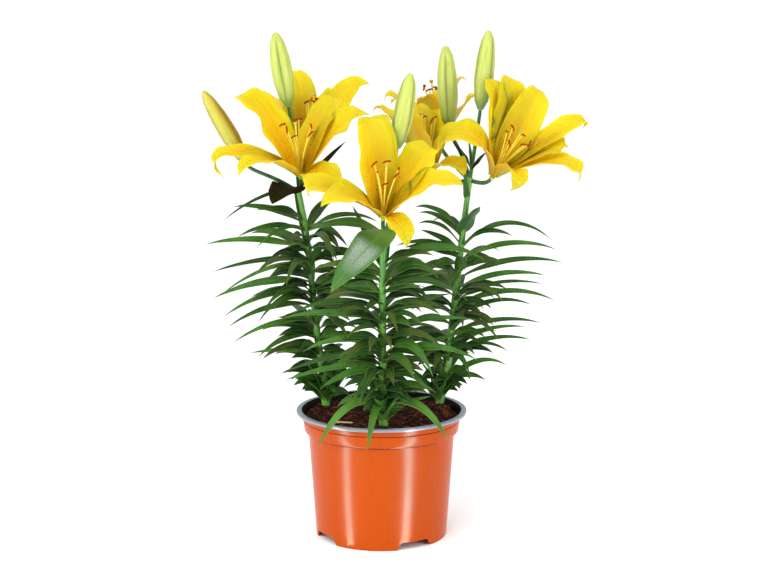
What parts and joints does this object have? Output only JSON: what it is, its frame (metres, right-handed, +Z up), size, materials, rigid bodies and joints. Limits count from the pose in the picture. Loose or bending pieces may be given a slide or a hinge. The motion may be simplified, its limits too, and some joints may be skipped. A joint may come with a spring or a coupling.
{
  "type": "potted lily",
  "caption": "Yellow lilies in flower and bud above narrow green leaves, growing in an orange plastic grower's pot of dark peat.",
  "frame": {"origin": "pot's axis on the ground, at the centre of the pad under its floor", "axes": "+Z up, -Y to the front as pictured, +X to the right"},
  "size_m": [0.3755, 0.2752, 0.5014],
  "materials": {
    "pot": "satin",
    "soil": "matte",
    "foliage": "satin",
    "petal": "matte",
    "stamen": "matte",
    "bud": "satin"
  },
  "bodies": {
    "root": {"pot": "pot", "soil": "soil", "plant_left": "foliage", "plant_middle": "foliage", "plant_right": "foliage", "bloom_left_front": "petal", "stamens_left_front": "stamen", "bloom_left_back": "petal", "stamens_left_back": "stamen", "bloom_middle_front": "petal", "stamens_middle_front": "stamen", "bloom_right_front": "petal", "stamens_right_front": "stamen", "bloom_back_low": "petal", "stamens_back_low": "stamen", "bloom_back_high": "petal", "stamens_back_high": "stamen", "bud_left_low": "bud", "bud_left_high": "bud", "bud_middle": "bud", "bud_right_low": "bud", "bud_right_high": "bud"}
  },
  "joints": []
}
